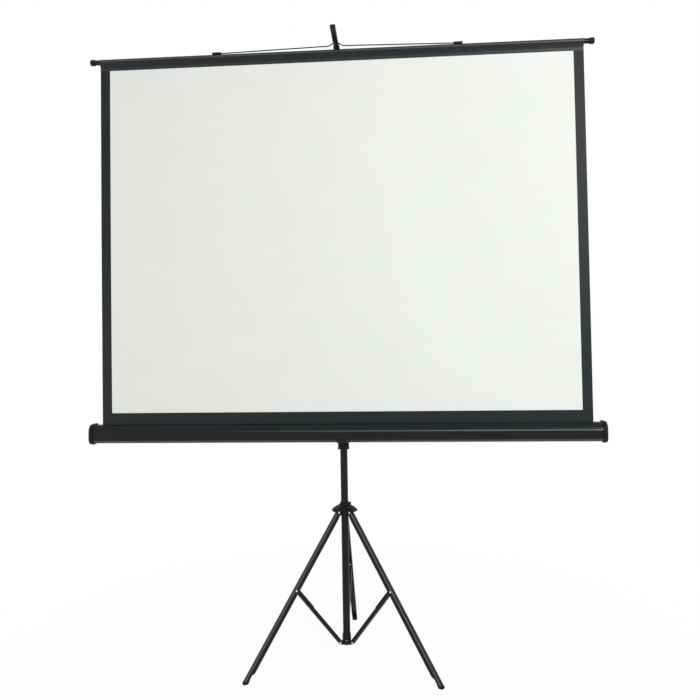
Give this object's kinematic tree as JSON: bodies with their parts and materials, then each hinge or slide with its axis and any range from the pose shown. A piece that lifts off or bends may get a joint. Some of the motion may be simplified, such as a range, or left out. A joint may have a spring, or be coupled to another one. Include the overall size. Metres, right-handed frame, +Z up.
{
  "type": "tripod projection screen",
  "caption": "Portable white projection screen with a black border, drawn up from a chamfered roller case on a telescopic mast and hung on a notched arm over a folding tripod.",
  "frame": {"origin": "on the floor, under the middle of the tripod's footprint from front to back and under the mast from side to side", "axes": "+Z up along the mast, the cloth faces -Y, +X to the right as seen from the front"},
  "size_m": [1.8698, 0.6032, 2.2861],
  "materials": {
    "black_paint": "satin black paint",
    "black_plastic": "fine-grained black plastic",
    "rubber": "matt moulded rubber",
    "bright_steel": "bright zinc plate",
    "grey_steel": "plain drawn steel",
    "cloth": "matt white screen cloth with black borders"
  },
  "bodies": {
    "mast": {"mast_tube": "black_paint", "mast_bottom_plug": "black_plastic", "mast_top_collar": "black_plastic", "base_bracket": "black_paint", "base_fixing_rivet": "bright_steel"},
    "extension_lock": {"extension_lock_knob": "black_plastic"},
    "hub": {"tripod_hub": "black_plastic", "hub_clamp_screw": "black_paint", "rear_hub_rivet": "bright_steel", "front_left_hub_rivet": "bright_steel", "front_right_hub_rivet": "bright_steel"},
    "rear_leg": {"rear_leg": "black_paint", "rear_foot": "rubber", "rear_leg_rivet": "bright_steel"},
    "rear_brace": {"rear_brace": "black_paint", "rear_brace_rivet_left": "bright_steel", "rear_brace_rivet_right": "bright_steel"},
    "front_left_leg": {"front_left_leg": "black_paint", "front_left_foot": "rubber", "front_left_leg_rivet": "bright_steel"},
    "front_left_brace": {"front_left_brace": "black_paint", "front_left_brace_rivet_left": "bright_steel", "front_left_brace_rivet_right": "bright_steel"},
    "front_right_leg": {"front_right_leg": "black_paint", "front_right_foot": "rubber", "front_right_leg_rivet": "bright_steel"},
    "front_right_brace": {"front_right_brace": "black_paint", "front_right_brace_rivet_left": "bright_steel", "front_right_brace_rivet_right": "bright_steel"},
    "case": {"case_shell": "black_paint", "case_end_cap_left": "black_plastic", "case_end_cap_right": "black_plastic", "left_cap_upper_screw": "grey_steel", "left_cap_lower_screw": "grey_steel", "right_cap_upper_screw": "grey_steel", "right_cap_lower_screw": "grey_steel", "case_saddle": "black_paint", "saddle_screw": "grey_steel", "slide_block": "black_plastic", "swivel_bolt": "grey_steel", "spring_rod": "grey_steel", "screen_cloth": "cloth"},
    "case_lock": {"case_lock_knob": "black_plastic"},
    "roller": {"roller_tube": "grey_steel", "cloth_wraps": "cloth", "roller_pin_plug": "black_plastic", "roller_spring_plug": "black_plastic", "roller_spring": "grey_steel"},
    "upper_mast": {"extension_tube": "black_paint", "arm_bracket": "black_paint", "arm_pin": "bright_steel", "keystone_arm": "black_paint", "hanger_bail": "grey_steel", "bail_anchor_left": "black_plastic", "bail_anchor_right": "black_plastic", "slat_tube": "black_paint", "slat_knob_left": "black_plastic", "slat_knob_right": "black_plastic"}
  },
  "joints": [
    {"name": "tripod_fold", "type": "slide", "parent": "mast", "child": "hub", "axis": [0, 0, 1], "range_m": [0, 0.1091]},
    {"name": "rear_leg_fold", "type": "hinge", "parent": "hub", "child": "rear_leg", "pos_m": [0, -0.06776, 0.54096], "axis": [-1, 0, 0], "range_deg": [0, 30.8]},
    {"name": "rear_brace_fold", "type": "hinge", "parent": "rear_leg", "child": "rear_brace", "pos_m": [0, 0.10247, 0.28668], "axis": [1, 0, 0], "range_deg": [0, 65.9]},
    {"name": "front_left_leg_fold", "type": "hinge", "parent": "hub", "child": "front_left_leg", "pos_m": [-0.02338, -0.10826, 0.54096], "axis": [0.5, -0.866, 0], "range_deg": [0, 30.8]},
    {"name": "front_left_brace_fold", "type": "hinge", "parent": "front_left_leg", "child": "front_left_brace", "pos_m": [-0.1708, -0.19337, 0.28668], "axis": [-0.5, 0.866, 0], "range_deg": [0, 65.9]},
    {"name": "front_right_leg_fold", "type": "hinge", "parent": "hub", "child": "front_right_leg", "pos_m": [0.02338, -0.10826, 0.54096], "axis": [0.5, 0.866, 0], "range_deg": [0, 30.8]},
    {"name": "front_right_brace_fold", "type": "hinge", "parent": "front_right_leg", "child": "front_right_brace", "pos_m": [0.1708, -0.19337, 0.28668], "axis": [-0.5, -0.866, 0], "range_deg": [0, 65.9]},
    {"name": "case_height", "type": "slide", "parent": "mast", "child": "case", "axis": [0, 0, 1], "range_m": [-0.06, 0.1]},
    {"name": "case_lock_turn", "type": "hinge", "parent": "case", "child": "case_lock", "pos_m": [0, -0.09476, 0.787], "axis": [0, 1, 0], "range_deg": [0, 180]},
    {"name": "screen_extension", "type": "slide", "parent": "case", "child": "upper_mast", "axis": [0, 0, 1], "range_m": [-0.84, 0], "deforming": ["screen_cloth"]},
    {"name": "roller_spin", "type": "hinge", "parent": "case", "child": "roller", "pos_m": [0, -0.13976, 0.8375], "axis": [1, 0, 0], "range_deg": [0, 3420]},
    {"name": "extension_lock_turn", "type": "hinge", "parent": "mast", "child": "extension_lock", "pos_m": [0, -0.09476, 1.31], "axis": [0, 1, 0], "range_deg": [0, 180]}
  ],
  "couplings": [
    {"joint": "rear_leg_fold", "follows": "tripod_fold", "rad_per_m": 4.925},
    {"joint": "rear_brace_fold", "follows": "tripod_fold", "rad_per_m": 10.54},
    {"joint": "front_left_leg_fold", "follows": "tripod_fold", "rad_per_m": 4.925},
    {"joint": "front_left_brace_fold", "follows": "tripod_fold", "rad_per_m": 10.54},
    {"joint": "front_right_leg_fold", "follows": "tripod_fold", "rad_per_m": 4.925},
    {"joint": "front_right_brace_fold", "follows": "tripod_fold", "rad_per_m": 10.54},
    {"joint": "roller_spin", "follows": "screen_extension", "rad_per_m": -70.92}
  ]
}
